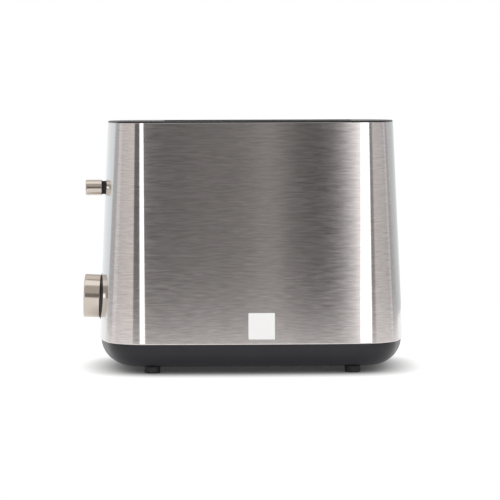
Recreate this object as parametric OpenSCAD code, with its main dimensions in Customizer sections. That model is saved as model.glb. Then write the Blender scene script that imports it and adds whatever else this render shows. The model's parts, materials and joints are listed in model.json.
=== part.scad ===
// Two-slot pop-up toaster with a tapered steel body on a rounded plastic base.
// Millimetres, +Z up, X along the body with the controls at -X, near side at -Y.

/* [Body] */
// Length of the steel body where it meets the base
body_length = 245; // [235:1:255]
// Width of the steel body where it meets the base
body_width = 161; // [158:1:170]
// Height of the joint between base and steel body
joint_z = 24; // [23:0.5:26]
// Height of the top edge of the steel body
rim_z = 197; // [196:0.5:200]
// Plan size of the steel body at its top edge over that at the joint
rim_scale = 0.937; // [0.93:0.005:0.96]
// Plan radius of the bowed end panels
end_radius = 200; // [180:5:260]
// Plan radius of the corners between ends and sides
corner_radius = 26; // [22:1:28]
// Plan radius of the slightly bowed sides
side_radius = 1600; // [1200:100:3000]
// Thickness of the steel panels
sheet = 0.8; // [0.6:0.1:1.2]
// Distance of each upright seam from the centre line
seam_y = 64.5; // [62:0.5:66]
// Width of the upright seams
seam_gap = 0.5; // [0.4:0.1:0.8]

/* [Base] */
// Height of the flat underside above the floor
base_z = 5.5; // [5:0.5:7]
// Set-back of the base from the steel all round
base_inset = 1.3; // [1:0.1:2]
// Width of the quarter round along the lower edge
base_round = 17; // [14:1:20]
// Wall thickness of the base at its top edge
base_wall = 4.4; // [4:0.2:5]
// Thickness of the base floor
base_floor = 2.5; // [2:0.1:3]
// Diameter of the rubber feet
foot_d = 12.5; // [10:0.5:16]
// Distance of the feet from the body centre along X
foot_x = 79; // [70:1:85]
// Distance of the feet from the centre line
foot_y = 56; // [50:1:60]

/* [Top] */
// Thickness of the plastic top frame above the steel edge
frame_t = 1.4; // [1.2:0.1:1.6]
// Length of a bread slot
slot_length = 142; // [135:1:145]
// Width of a bread slot
slot_width = 34; // [30:1:34]
// Distance of each slot's middle from the centre line
slot_y = 30; // [29:0.5:31]
// Middle of the slots along X, from the body centre
slot_x = 7; // [6:0.5:8]

/* [Lever] */
// Height of the lever knob's axis at rest
lever_z = 144.6; // [142:0.2:146]
// Travel of the lever and its carriage
lever_travel = 54; // [50:1:54]
// Diameter of the lever knob
lever_knob_d = 12.5; // [11:0.5:14]
// Length of the lever knob
lever_knob_l = 13; // [11:0.5:14]

/* [Browning knob] */
// Height of the browning knob's axis
knob_z = 56.6; // [55:0.2:58]
// Diameter of the browning knob
knob_d = 35; // [32:1:36]
// How far the browning knob stands out of the panel
knob_out = 13.8; // [12:0.2:15]
// Diameter of the thin dark ring behind the browning knob
dial_ring_d = 37.4; // [36:0.2:40]

/* [Hidden] */
$fn = 48;

half_l = body_length / 2;
half_w = body_width / 2;
top_z = rim_z + frame_t;
// Lean of the end panels from upright
lean = atan(half_l * (1 - rim_scale) / (rim_z - joint_z));

// The plan outline is an end arc, a corner arc and a side arc that meet tangent to each other
end_centre = [half_l - end_radius, 0];
side_centre = [0, half_w - side_radius];
centre_gap = norm(end_centre - side_centre);
end_reach = end_radius - corner_radius;
side_reach = side_radius - corner_radius;
along = (end_reach * end_reach - side_reach * side_reach + centre_gap * centre_gap) / (2 * centre_gap);
across = sqrt(end_reach * end_reach - along * along);
gap_dir = (side_centre - end_centre) / centre_gap;
corner_centre = end_centre + along * gap_dir + across * [-gap_dir.y, gap_dir.x];
end_angle = atan2(corner_centre.y, corner_centre.x - end_centre.x);
side_angle = atan2(corner_centre.y - side_centre.y, corner_centre.x);
end_steps = 10;
corner_steps = 10;
side_steps = 6;

// The whole row frame is centred on its own box, and the browning knob makes that box longer at -X
knob_face_x = half_l * (1 - (1 - rim_scale) * (knob_z - joint_z) / (rim_z - joint_z));
knob_tip_x = knob_face_x + knob_out * cos(lean) + (knob_d / 2 - 1) * sin(lean);
body_shift = (knob_tip_x - half_l) / 2;

// Heating chamber
front_x = -70;
rear_x = 80;
plate_t = 1;
chamber_y = 56;
chassis_low = 22;
chassis_high = 186;
guide_y = slot_width / 2 - 0.5;
guide_low = 46;
guide_high = 176;
wire_d = 2.2;
board_low = 40;
board_high = 178;
board_t = 0.8;
outer_board_y = 50.2;
inner_board_y = 8;

// Carriage and lever
rod_x = -82;
rod_y = 24;
rod_d = 5;
shelf_low = 30;
shelf_high = 32;
carriage_low = 104;
carriage_x = -75;
rack_high = 114;
neck_h = 10.5;
neck_w = 6;
lever_gap = 2.85;
lever_inner_x = -half_l * (1 - (1 - rim_scale) * (lever_z - joint_z) / (rim_z - joint_z)) - lever_gap;
lever_slot_w = 7.2;
lever_slot_spare = 2.6;
stub_d = 6.8;

// Controls, measured from the outer face of the control panel at its middle
board_back = -18.6;
board_front = -17;
carrier_back = -12.5;
carrier_front = -10.7;
button_y = 34;
button_d = 9.6;
button_tip = -0.8;
button_z = [140, 122, 104];
post_places = [[-18, -14], [-18, 50], [82, 18], [82, 50]];

// Base fittings
post_y = 50;
post_x = [front_x - 19, rear_x + 9];
tray_y = 42;
tray_low = 12;
tray_front = -62;
tray_back = 108;
gland_y = 54;
gland_z = 15.5;
gland_x = 103;

function taper(z) = 1 - (1 - rim_scale) * (z - joint_z) / (rim_z - joint_z);
function arc_point(centre, radius, angle) = centre + radius * [cos(angle), sin(angle)];

// A quarter of the plan outline, moved inwards by inset
function quarter(inset) = concat(
    [for (k = [0:end_steps - 1])
        arc_point(end_centre, end_radius - inset, end_angle * k / end_steps)],
    [for (k = [0:corner_steps - 1])
        arc_point(corner_centre, corner_radius - inset,
            end_angle + (side_angle - end_angle) * k / corner_steps)],
    [for (k = [0:side_steps - 1])
        arc_point(side_centre, side_radius - inset,
            side_angle + (90 - side_angle) * k / side_steps)]);

function half_outline(inset) = let (q = quarter(inset), n = len(q))
    concat(q, [[0, half_w - inset]], [for (k = [n - 1:-1:1]) [-q[k].x, q[k].y]]);

function ring(z, inset) = let (h = half_outline(inset), s = taper(max(z, joint_z)))
    [for (p = concat(h, [for (p = h) -p])) [p.x * s, p.y * s, z]];

// Rings on the rounded side of the base, from the underside up to the joint
function base_rings(inset, drop) = [for (angle = [0:15:90])
    ring(joint_z - drop * cos(angle), inset + base_round * (1 - sin(angle)))];

module place() {
    translate([body_shift, 0, 0]) children();
}

module slab(x, y, z) {
    translate([x[0], y[0], z[0]]) cube([x[1] - x[0], y[1] - y[0], z[1] - z[0]]);
}

// A closed solid through a list of level rings that have the same number of points
module loft(rings) {
    n = len(rings[0]);
    last = len(rings) - 1;
    sides = [for (k = [0:last - 1], i = [0:n - 1])
        [k * n + i, (k + 1) * n + i, (k + 1) * n + (i + 1) % n, k * n + (i + 1) % n]];
    low = [for (i = [0:n - 1]) i];
    high = [for (i = [n - 1:-1:0]) last * n + i];
    polyhedron([for (r = rings) each r], concat([low], sides, [high]));
}

module both_sides() {
    children();
    mirror([0, 1, 0]) children();
}

module x_cylinder(d, x0, x1, y, z) {
    translate([x0, y, z]) rotate([0, 90, 0]) cylinder(d = d, h = x1 - x0);
}

module z_cylinder(d, x, y, z0, z1) {
    translate([x, y, z0]) cylinder(d = d, h = z1 - z0);
}

// Frame on the control panel at height z: local x up the face, local z outwards
module on_face(z) {
    translate([-half_l * taper(z), 0, z]) rotate([0, lean - 90, 0]) children();
}

// ---- Outer shell ----

module shell() {
    difference() {
        loft([ring(joint_z, 0), ring(rim_z, 0)]);
        loft([ring(joint_z + sheet, sheet), ring(rim_z - sheet, sheet)]);
        loft([ring(joint_z - 1, 3.5), ring(rim_z + 1, 3.5)]);
    }
}

module side_panel() {
    intersection() {
        shell();
        slab([-half_l, half_l], [seam_y + seam_gap / 2, half_w + 1], [joint_z, rim_z]);
    }
}

module end_panel() {
    intersection() {
        shell();
        slab([0, half_l + 1], [-seam_y + seam_gap / 2, seam_y - seam_gap / 2], [joint_z, rim_z]);
    }
}

module side_panel_near() {
    place() color([0.62, 0.61, 0.6]) mirror([0, 1, 0]) side_panel();
}

module side_panel_far() {
    place() color([0.62, 0.61, 0.6]) side_panel();
}

module rear_panel() {
    place() color([0.74, 0.74, 0.76]) end_panel();
}

// The lever slot's round ends clear the square corners of the neck at both ends of its travel
module lever_slot() {
    low = lever_z - lever_travel - neck_h / 2 - lever_slot_spare;
    high = lever_z + neck_h / 2 + lever_slot_spare;
    x = [-half_l - 5, -half_l + 25];
    slab(x, [-lever_slot_w / 2, lever_slot_w / 2], [low + lever_slot_w / 2, high - lever_slot_w / 2]);
    for (z = [low + lever_slot_w / 2, high - lever_slot_w / 2])
        x_cylinder(lever_slot_w, x[0], x[1], 0, z);
}

module control_panel() {
    place() color([0.74, 0.74, 0.76]) difference() {
        mirror([1, 0, 0]) end_panel();
        lever_slot();
        on_face(knob_z) translate([0, 0, -8]) cylinder(d = 8.6, h = 16);
        for (z = button_z)
            on_face(z) translate([0, button_y, -12]) cylinder(d = button_d + 0.6, h = 20);
    }
}

module blank_label() {
    side = 20.6;
    middle = [6.7, 38.6];
    side_lean = atan(half_w * (1 - rim_scale) / (rim_z - joint_z));
    place() color("white")
        translate([middle[0], -half_w * taper(middle[1]) - 0.02, middle[1]]) rotate([-side_lean, 0, 0])
            slab([-side / 2, side / 2], [-0.25, 0], [-side / 2, side / 2]);
}

// ---- Top ----

deck_x = [slot_x - 77, slot_x + 77];
deck_y = [-53, 53];

module rounded_slab(x, y, z, r) {
    slab([x[0] + r, x[1] - r], y, z);
    slab(x, [y[0] + r, y[1] - r], z);
    for (cx = [x[0] + r, x[1] - r], cy = [y[0] + r, y[1] - r])
        z_cylinder(2 * r, cx, cy, z[0], z[1]);
}

module deck_block(grow, z, r) {
    rounded_slab([deck_x[0] - grow, deck_x[1] + grow], [deck_y[0] - grow, deck_y[1] + grow], z, r);
}

module top_frame() {
    place() color([0.09, 0.09, 0.1]) difference() {
        union() {
            loft([ring(rim_z, 0.3), ring(top_z - 0.5, 0.3), ring(top_z, 0.8)]);
            loft([ring(rim_z - 2.6, 4.2), ring(rim_z + 0.5, 4.2)]);
            deck_block(2, [188, rim_z], 8);
        }
        deck_block(0, [191, top_z + 1], 6);
        deck_block(-2, [187, 192], 4);
    }
}

module slot_block(grow, z, r) {
    rounded_slab([slot_x - slot_length / 2 - grow, slot_x + slot_length / 2 + grow],
        [slot_y - slot_width / 2 - grow, slot_y + slot_width / 2 + grow], z, r);
}

module slot_plate() {
    lip = 1.2;
    place() color([0.7, 0.7, 0.71]) difference() {
        union() {
            deck_block(-0.2, [191, 192.2], 5.8);
            both_sides() slot_block(lip, [186.5, 192], 7.2);
        }
        both_sides() slot_block(0, [185, 194], 6);
    }
}

// ---- Base ----

module base_outer() {
    loft(base_rings(base_inset, joint_z - base_z));
}

module base_hollow() {
    loft(concat(base_rings(base_inset + base_wall, joint_z - base_z - base_floor),
        [ring(joint_z + 1, base_inset + base_wall)]));
}

module base_ribs() {
    floor_z = base_z + 1;
    both_sides() {
        for (x = post_x)
            z_cylinder(9, x, post_y, floor_z, chassis_low);
        slab([tray_front, tray_back - 6], [tray_y - 4, tray_y + 2.6], [floor_z, tray_low]);
        slab([tray_front, tray_back - 6], [tray_y + 0.6, tray_y + 2.6], [floor_z, tray_low + 4]);
    }
    for (rib = [[18, 10], [46, 16]])
        slab([-112, -108], [rib[0], rib[0] + 4], [rib[1], 31.8]);
}

module gland_boss() {
    intersection() {
        base_outer();
        slab([gland_x - 6, gland_x + 11], [gland_y - 8, gland_y + 9], [base_z, joint_z - 1]);
    }
}

module base_tub() {
    place() color([0.1, 0.1, 0.11]) difference() {
        union() {
            difference() {
                base_outer();
                base_hollow();
            }
            difference() {
                loft([ring(joint_z - 1, 3.8), ring(joint_z + 6, 3.8)]);
                loft([ring(joint_z - 2, 5.5), ring(joint_z + 7, 5.5)]);
            }
            base_ribs();
            gland_boss();
        }
        slab([tray_back - 5, half_l], [-tray_y - 0.6, tray_y + 0.6], [tray_low - 0.4, tray_low + 8.4]);
        x_cylinder(10.1, gland_x - 10, gland_x + 20, gland_y, gland_z);
        x_cylinder(14.4, gland_x, gland_x + 20, gland_y, gland_z);
        both_sides() for (x = post_x) {
            z_cylinder(3.2, x, post_y, base_z - 1, chassis_low + 1);
            z_cylinder(7, x, post_y, base_z - 1, base_z + 3);
        }
        both_sides() for (x = [-foot_x, foot_x])
            z_cylinder(6, x, foot_y, base_z - 1, base_z + base_floor + 1);
    }
}

module foot() {
    edge = 0.8;
    rotate_extrude() {
        square([foot_d / 2 - edge, base_z]);
        translate([0, edge]) square([foot_d / 2, base_z - edge]);
        translate([foot_d / 2 - edge, edge]) circle(r = edge);
        square([2.9, base_z + base_floor]);
    }
}

module feet() {
    place() color([0.05, 0.05, 0.05]) both_sides()
        for (x = [-foot_x, foot_x])
            translate([x, foot_y, 0]) foot();
}

module crumb_tray() {
    wall = 1;
    place() color([0.6, 0.6, 0.61]) difference() {
        slab([tray_front, tray_back], [-tray_y, tray_y], [tray_low, tray_low + 5]);
        slab([tray_front + wall, tray_back - wall], [-tray_y + wall, tray_y - wall],
            [tray_low + wall, tray_low + 6]);
    }
}

// The tray's front closes its opening in the base, with a finger groove along its lower edge
module tray_handle() {
    place() color([0.1, 0.1, 0.11]) difference() {
        intersection() {
            base_outer();
            slab([tray_back, half_l], [-tray_y - 0.2, tray_y + 0.2], [tray_low - 0.1, tray_low + 8.1]);
        }
        slab([tray_back + 4, half_l], [-20, 20], [tray_low - 1, tray_low + 4.4]);
    }
}

module cord_gland() {
    place() color([0.06, 0.06, 0.06]) difference() {
        union() {
            x_cylinder(10, gland_x - 9, gland_x + 1, gland_y, gland_z);
            x_cylinder(14, gland_x, gland_x + 3.5, gland_y, gland_z);
        }
        x_cylinder(6.6, gland_x - 10, gland_x + 5, gland_y, gland_z);
    }
}

module base_screws() {
    place() color([0.55, 0.55, 0.56]) both_sides() for (x = post_x) {
        z_cylinder(2.9, x, post_y, base_z + 2, chassis_low + 5);
        z_cylinder(6, x, post_y, base_z + 0.8, base_z + 3);
    }
}

// ---- Chassis and heating chamber ----

// A cross plate with a screw tab on each side that reaches out to its post
module chassis_plate(x, tab) {
    slab([x, x + plate_t], [-chamber_y, chamber_y], [chassis_low, chassis_high]);
    both_sides() slab(tab, [44, chamber_y], [chassis_low, chassis_low + 1.2]);
}

module chassis_holes(x) {
    around = [x - 1, x + plate_t + 1];
    both_sides() {
        slab(around, [slot_y - 2.5, slot_y + 2.5], [rack_high - lever_travel - 11, rack_high + 3]);
        for (y = [slot_y - guide_y, slot_y + guide_y])
            x_cylinder(wire_d + 0.16, around[0], around[1], y, guide_low);
    }
}

module chassis_front() {
    place() color([0.66, 0.67, 0.68]) difference() {
        union() {
            chassis_plate(front_x, [post_x[0] - 5, front_x + 0.5]);
            slab([-94, front_x + 0.5], [-43, 48], [shelf_low, shelf_high]);
            slab([-90, front_x + 0.5], [-32, 32], [182, 184]);
        }
        chassis_holes(front_x);
        both_sides() {
            z_cylinder(3.2, post_x[0], post_y, chassis_low - 1, chassis_low + 3);
            z_cylinder(rod_d + 0.04, rod_x, rod_y, shelf_low - 1, 190);
        }
    }
}

module chassis_rear() {
    place() color([0.66, 0.67, 0.68]) difference() {
        chassis_plate(rear_x, [rear_x + 0.5, post_x[1] + 5]);
        chassis_holes(rear_x);
        both_sides() z_cylinder(3.2, post_x[1], post_y, chassis_low - 1, chassis_low + 3);
    }
}

module floor_rails() {
    place() color([0.66, 0.67, 0.68]) both_sides() {
        slab([front_x + plate_t, rear_x], [46, 54], [24, 25]);
        slab([front_x + plate_t, rear_x], [53, 54], [24, 34]);
    }
}

module reflector(side) {
    place() color([0.75, 0.75, 0.76]) mirror([0, side < 0 ? 1 : 0, 0])
        slab([front_x + plate_t, rear_x], [chamber_y - 0.6, chamber_y], [35, 182]);
}

module reflector_near() {
    reflector(-1);
}

module reflector_far() {
    reflector(1);
}

module heater_board(y) {
    place() color([0.78, 0.74, 0.64])
        slab([front_x + plate_t, rear_x], [y, y + board_t], [board_low, board_high]);
}

module heater_board_outer_near() {
    heater_board(-outer_board_y - board_t);
}

module heater_board_inner_near() {
    heater_board(-inner_board_y - board_t);
}

module heater_board_inner_far() {
    heater_board(inner_board_y);
}

module heater_board_outer_far() {
    heater_board(outer_board_y);
}

// One ribbon that runs to and fro across a board, on the face turned to the bread
module heater_wire(y) {
    pitch = 12;
    runs = 10;
    low = 52;
    ribbon = 1.2;
    x0 = -62;
    x1 = 73;
    place() color([0.45, 0.42, 0.4]) for (k = [0:runs - 1]) {
        z = low + k * pitch;
        slab([x0, x1], [y, y + 0.35], [z, z + ribbon]);
        if (k < runs - 1) {
            x = k % 2 == 0 ? x1 - ribbon : x0;
            slab([x, x + ribbon], [y, y + 0.35], [z, z + pitch + ribbon]);
        }
    }
}

module heater_wire_outer_near() {
    heater_wire(-outer_board_y);
}

module heater_wire_inner_near() {
    heater_wire(-inner_board_y - board_t - 0.35);
}

module heater_wire_inner_far() {
    heater_wire(inner_board_y + board_t);
}

module heater_wire_outer_far() {
    heater_wire(outer_board_y - 0.35);
}

// A wire gate that leans towards the bread on its lowest wire
module bread_guide(y) {
    first = -60;
    pitch = 26;
    bars = 6;
    place() color([0.7, 0.7, 0.7]) {
        x_cylinder(wire_d, front_x - 1.6, rear_x + 2.6, y, guide_low);
        x_cylinder(wire_d, first - 1.6, first + pitch * (bars - 1) + 1.6, y, guide_high);
        for (k = [0:bars - 1])
            z_cylinder(1.8, first + k * pitch, y, guide_low, guide_high);
    }
}

module bread_guide_outer_near() {
    bread_guide(-slot_y - guide_y);
}

module bread_guide_inner_near() {
    bread_guide(-slot_y + guide_y);
}

module bread_guide_inner_far() {
    bread_guide(slot_y - guide_y);
}

module bread_guide_outer_far() {
    bread_guide(slot_y + guide_y);
}

// ---- Carriage and lever ----

module guide_rod(y) {
    place() color([0.8, 0.8, 0.82]) z_cylinder(rod_d, rod_x, y, shelf_low, 185);
}

module guide_rod_near() {
    guide_rod(-rod_y);
}

module guide_rod_far() {
    guide_rod(rod_y);
}

module carriage() {
    back = carriage_x + 2;
    place() color([0.7, 0.71, 0.72]) difference() {
        union() {
            slab([carriage_x, back], [-44, 44], [carriage_low, carriage_low + 14]);
            slab([carriage_x, back], [-10, 10], [carriage_low, lever_z + 6]);
            slab([carriage_x - 19, back - 0.5], [-8, 8], [carriage_low, carriage_low + 1.5]);
            slab([lever_inner_x + 3, back - 0.5], [-1.25, 1.25], [lever_z - 4, lever_z + 4]);
            both_sides() {
                z_cylinder(9, rod_x, rod_y, carriage_low, carriage_low + 20);
                slab([rod_x, carriage_x + 0.5], [rod_y - 2, rod_y + 2], [carriage_low, carriage_low + 14]);
            }
        }
        both_sides() z_cylinder(rod_d + 0.1, rod_x, rod_y, carriage_low - 1, carriage_low + 21);
    }
}

module bread_rack(y) {
    first = -58;
    pitch = 24;
    prongs = 6;
    place() color([0.7, 0.7, 0.7]) {
        slab([carriage_x + 2, rear_x + 4], [y - 1.5, y + 1.5], [rack_high - 8, rack_high - 0.5]);
        for (k = [0:prongs - 1])
            slab([first + k * pitch, first + k * pitch + 2.4], [y - 9, y + 9], [rack_high - 2.4, rack_high]);
    }
}

module bread_rack_near() {
    bread_rack(-slot_y);
}

module bread_rack_far() {
    bread_rack(slot_y);
}

module carriage_spring() {
    place() color([0.5, 0.5, 0.52]) translate([rod_x, -rod_y, 0]) difference() {
        z_cylinder(8, 0, 0, shelf_high, carriage_low);
        z_cylinder(6, 0, 0, shelf_high - 1, carriage_low + 1);
    }
}

module latch_plate() {
    place() color([0.6, 0.6, 0.62])
        slab([carriage_x - 18, carriage_x - 4], [-11, 11], [carriage_low - 2, carriage_low]);
}

module contact_bridge() {
    place() color([0.75, 0.62, 0.35]) {
        slab([carriage_x - 9, carriage_x], [33, 43], [carriage_low, carriage_low + 8]);
        for (y = [34, 39.5])
            slab([carriage_x - 6, carriage_x - 4.5], [y, y + 2.5], [carriage_low - 4, carriage_low + 1]);
    }
}

// A sleeve over the carriage's steel tongue, with a round stub that the knob is pressed on
module lever_neck() {
    tongue = [lever_inner_x + 3, -98];
    place() color([0.07, 0.07, 0.07]) difference() {
        union() {
            slab([lever_inner_x, -100], [-neck_w / 2, neck_w / 2], [lever_z - neck_h / 2, lever_z + neck_h / 2]);
            x_cylinder(stub_d, lever_inner_x - 8, lever_inner_x + 1, 0, lever_z);
        }
        slab(tongue, [-1.28, 1.28], [lever_z - 4.03, lever_z + 4.03]);
    }
}

// A round bar with small bevels at both ends, from z = 0 to z = length
module bevelled_bar(d, length, bevel) {
    rotate_extrude($fn = 96) polygon([[0, 0], [d / 2 - bevel, 0], [d / 2, bevel],
        [d / 2, length - bevel], [d / 2 - bevel, length], [0, length]]);
}

module lever_knob() {
    place() color([0.72, 0.69, 0.64]) difference() {
        translate([lever_inner_x, 0, lever_z]) rotate([0, -90, 0])
            bevelled_bar(lever_knob_d, lever_knob_l, 0.6);
        x_cylinder(stub_d + 0.04, lever_inner_x - 8.2, lever_inner_x + 1, 0, lever_z);
    }
}

module magnet_core() {
    x = [-92, -80];
    place() color([0.5, 0.5, 0.53]) {
        slab(x, [-11, 11], [shelf_high, shelf_high + 4]);
        slab(x, [-2.5, 2.5], [shelf_high, shelf_high + 15.6]);
        both_sides() slab(x, [7.5, 11], [shelf_high, shelf_high + 15.6]);
    }
}

module magnet_coil() {
    z = [shelf_high + 4.2, shelf_high + 14.6];
    place() color([0.62, 0.33, 0.18]) difference() {
        slab([-95, -77], [-6.8, 6.8], z);
        slab([-92.3, -79.7], [-2.8, 2.8], [z[0] - 1, z[1] + 1]);
    }
}

// ---- Electrics ----

module contact_block() {
    place() color([0.85, 0.83, 0.78]) difference() {
        slab([carriage_x - 11, carriage_x], [32, 44], [shelf_high, 45.4]);
        for (y = [33.5, 39])
            slab([carriage_x - 7, carriage_x - 3.5], [y, y + 3.5], [41, 47]);
    }
}

module terminal_block() {
    place() color([0.9, 0.89, 0.85]) difference() {
        slab([rear_x + plate_t, rear_x + 13], [24, 44], [36, 50]);
        for (y = [29, 39])
            z_cylinder(3.5, rear_x + 7, y, 44, 51);
    }
}

// Smooth points through the corners of a route
function route_point(p, k, t) = let (
        a = p[max(k - 1, 0)],
        b = p[k],
        c = p[k + 1],
        d = p[min(k + 2, len(p) - 1)])
    0.5 * (2 * b + (c - a) * t + (2 * a - 5 * b + 4 * c - d) * t * t + (3 * b - a - 3 * c + d) * t * t * t);

function smooth_route(p, steps) = concat(
    [for (k = [0:len(p) - 2], s = [0:steps - 1]) route_point(p, k, s / steps)], [p[len(p) - 1]]);

// A level-lying lead of a given radius along a route, closed by a flat disc at each end
module lead(route, radius) {
    sides = 8;
    n = len(route);
    rings = [for (k = [0:n - 1])
        let (d = route[min(k + 1, n - 1)] - route[max(k - 1, 0)],
            f = d / norm(d),
            s = cross([0, 0, 1], f) / norm(cross([0, 0, 1], f)),
            u = cross(f, s))
        [for (i = [0:sides - 1])
            route[k] + radius * (cos(360 * i / sides) * s + sin(360 * i / sides) * u)]];
    walls = [for (k = [0:n - 2], i = [0:sides - 1])
        [k * sides + i, (k + 1) * sides + i, (k + 1) * sides + (i + 1) % sides, k * sides + (i + 1) % sides]];
    start = [for (i = [0:sides - 1]) i];
    finish = [for (i = [sides - 1:-1:0]) (n - 1) * sides + i];
    polyhedron([for (r = rings) each r], concat([start], walls, [finish]));
}

lead_routes = [
    [[93, 29, 42], [99, 32, 42], [101, 46, 41], [94, 60, 39], [70, 63, 38], [0, 63, 38],
        [-62, 62, 38], [-76, 58, 37], [-80, 50, 36], [-80, 44, 36]],
    [[93, 39, 46], [97, 42, 46], [97, 52, 45], [90, 60, 44], [70, 63, 43], [0, 63, 43],
        [-62, 62, 43], [-76, 58, 42], [-80, 50, 41], [-80, 44, 41]]];

module mains_leads() {
    place() color([0.35, 0.16, 0.1]) for (route = lead_routes)
        lead(smooth_route(route, 4), 1.2);
}

// The board and its carrier have the same outline: wide behind the knob, narrow beside the lever
module board_outline(grow) {
    polygon([[-22 - grow, -18 - grow], [22 + grow, -18 - grow], [22 + grow, 13 - grow], [88 + grow, 13 - grow],
        [88 + grow, 56], [-22 - grow, 56]]);
}

module control_board() {
    place() color([0.1, 0.35, 0.2]) on_face(knob_z) difference() {
        translate([0, 0, board_back]) linear_extrude(board_front - board_back) board_outline(0);
        for (p = post_places)
            translate([p.x, p.y, board_back - 1]) cylinder(d = 2.9, h = 4);
    }
}

module control_carrier() {
    place() color([0.13, 0.13, 0.14]) on_face(knob_z) difference() {
        union() {
            translate([0, 0, carrier_back]) linear_extrude(carrier_front - carrier_back) board_outline(2);
            for (p = post_places)
                translate([p.x, p.y, board_front]) cylinder(d = 6, h = carrier_back - board_front + 0.5);
        }
        translate([0, 0, carrier_back - 1]) cylinder(d = 7.6, h = 4);
        for (z = button_z)
            translate([(z - knob_z) / cos(lean), button_y, carrier_back - 1]) cylinder(d = 5.4, h = 4);
        for (p = post_places)
            translate([p.x, p.y, board_front - 1]) cylinder(d = 2.64, h = 5);
    }
}

module board_screws() {
    place() color([0.6, 0.6, 0.61]) on_face(knob_z) for (p = post_places) {
        translate([p.x, p.y, board_back - 2]) cylinder(d = 5.4, h = 2);
        translate([p.x, p.y, board_back - 1]) cylinder(d = 2.6, h = 6);
    }
}

module timer_chip() {
    place() color([0.08, 0.08, 0.08]) on_face(knob_z)
        slab([40, 60], [30, 38], [board_back - 3.2, board_back]);
}

module smoothing_capacitor() {
    place() color([0.12, 0.14, 0.3]) on_face(knob_z)
        translate([68, 46, board_back - 10]) cylinder(d = 8, h = 10);
}

module dropper_resistor() {
    place() color([0.88, 0.87, 0.83]) on_face(knob_z)
        slab([-12, 12], [36, 43], [board_back - 7, board_back]);
}

module browning_potentiometer() {
    place() color([0.3, 0.35, 0.42]) on_face(knob_z) difference() {
        union() {
            translate([0, 0, board_front]) cylinder(d = 16.5, h = 4);
            translate([0, 0, board_front + 3]) cylinder(d = 7, h = 6);
        }
        translate([0, 0, board_front + 1]) cylinder(d = 6.1, h = 10);
    }
}

module knob_shaft() {
    place() color([0.8, 0.8, 0.82]) on_face(knob_z)
        translate([0, 0, board_front + 1.3]) cylinder(d = 6, h = 9 - board_front - 1.3);
}

module browning_knob() {
    place() color([0.72, 0.69, 0.64]) on_face(knob_z) difference() {
        translate([0, 0, 0.6]) bevelled_bar(knob_d, knob_out - 0.6, 0.9);
        translate([0, 0, -1]) cylinder(d = 6.04, h = 10.2);
    }
}

// A thin collar that lies on the bowed panel behind the knob
module dial_ring() {
    clearance = 0.03;
    place() color([0.07, 0.07, 0.07]) difference() {
        on_face(knob_z) translate([0, 0, -1.6]) cylinder(d = dial_ring_d, h = 2, $fn = 96);
        loft([ring(joint_z, -clearance), ring(rim_z, -clearance)]);
        on_face(knob_z) translate([0, 0, -2]) cylinder(d = 9, h = 4);
    }
}

module push_button(z) {
    place() color([0.15, 0.15, 0.16]) on_face(z) translate([0, button_y, 0]) {
        translate([0, 0, -7]) bevelled_bar(button_d, button_tip + 7, 0.5);
        translate([0, 0, -7]) cylinder(d = 12.4, h = 1.2);
        translate([0, 0, -13.9]) cylinder(d = 5, h = 7.5);
    }
}

module cancel_button() {
    push_button(button_z[0]);
}

module reheat_button() {
    push_button(button_z[1]);
}

module defrost_button() {
    push_button(button_z[2]);
}

module button_switches() {
    place() color([0.2, 0.2, 0.22]) for (z = button_z)
        on_face(z) translate([0, button_y, board_front]) {
            slab([-3, 3], [-3, 3], [0, 1.2]);
            cylinder(d = 3.4, h = 1.6);
        }
}

base_tub();
feet();
side_panel_near();
side_panel_far();
control_panel();
rear_panel();
top_frame();
slot_plate();
blank_label();
chassis_front();
chassis_rear();
floor_rails();
reflector_near();
reflector_far();
heater_board_outer_near();
heater_board_inner_near();
heater_board_inner_far();
heater_board_outer_far();
heater_wire_outer_near();
heater_wire_inner_near();
heater_wire_inner_far();
heater_wire_outer_far();
bread_guide_outer_near();
bread_guide_inner_near();
bread_guide_inner_far();
bread_guide_outer_far();
guide_rod_near();
guide_rod_far();
carriage();
bread_rack_near();
bread_rack_far();
carriage_spring();
latch_plate();
contact_bridge();
lever_neck();
lever_knob();
magnet_core();
magnet_coil();
contact_block();
terminal_block();
mains_leads();
cord_gland();
control_carrier();
control_board();
timer_chip();
smoothing_capacitor();
dropper_resistor();
browning_potentiometer();
knob_shaft();
browning_knob();
dial_ring();
cancel_button();
reheat_button();
defrost_button();
button_switches();
crumb_tray();
tray_handle();
base_screws();
board_screws();
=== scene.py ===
import functools
import json
import math
from collections import namedtuple

import bmesh
import bpy
from mathutils import Matrix, Vector


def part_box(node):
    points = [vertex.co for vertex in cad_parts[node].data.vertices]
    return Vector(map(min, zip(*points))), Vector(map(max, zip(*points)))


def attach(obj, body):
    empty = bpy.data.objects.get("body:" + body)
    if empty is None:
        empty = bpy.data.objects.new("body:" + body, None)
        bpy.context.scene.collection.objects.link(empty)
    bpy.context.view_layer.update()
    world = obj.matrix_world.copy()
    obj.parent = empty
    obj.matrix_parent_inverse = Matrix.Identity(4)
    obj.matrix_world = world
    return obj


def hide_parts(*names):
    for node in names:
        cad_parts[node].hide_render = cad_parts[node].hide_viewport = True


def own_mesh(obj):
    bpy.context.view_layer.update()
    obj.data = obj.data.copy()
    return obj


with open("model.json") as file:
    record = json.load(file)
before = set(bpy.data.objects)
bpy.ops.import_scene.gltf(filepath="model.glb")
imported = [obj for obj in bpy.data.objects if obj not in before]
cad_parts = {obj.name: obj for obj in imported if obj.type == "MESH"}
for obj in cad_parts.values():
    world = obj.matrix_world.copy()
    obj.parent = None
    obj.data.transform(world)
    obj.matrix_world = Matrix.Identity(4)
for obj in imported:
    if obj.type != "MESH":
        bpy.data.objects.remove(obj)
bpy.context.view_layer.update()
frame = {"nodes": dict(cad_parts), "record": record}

# ---- Sizes, in metres ----

MM = 0.001
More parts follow.
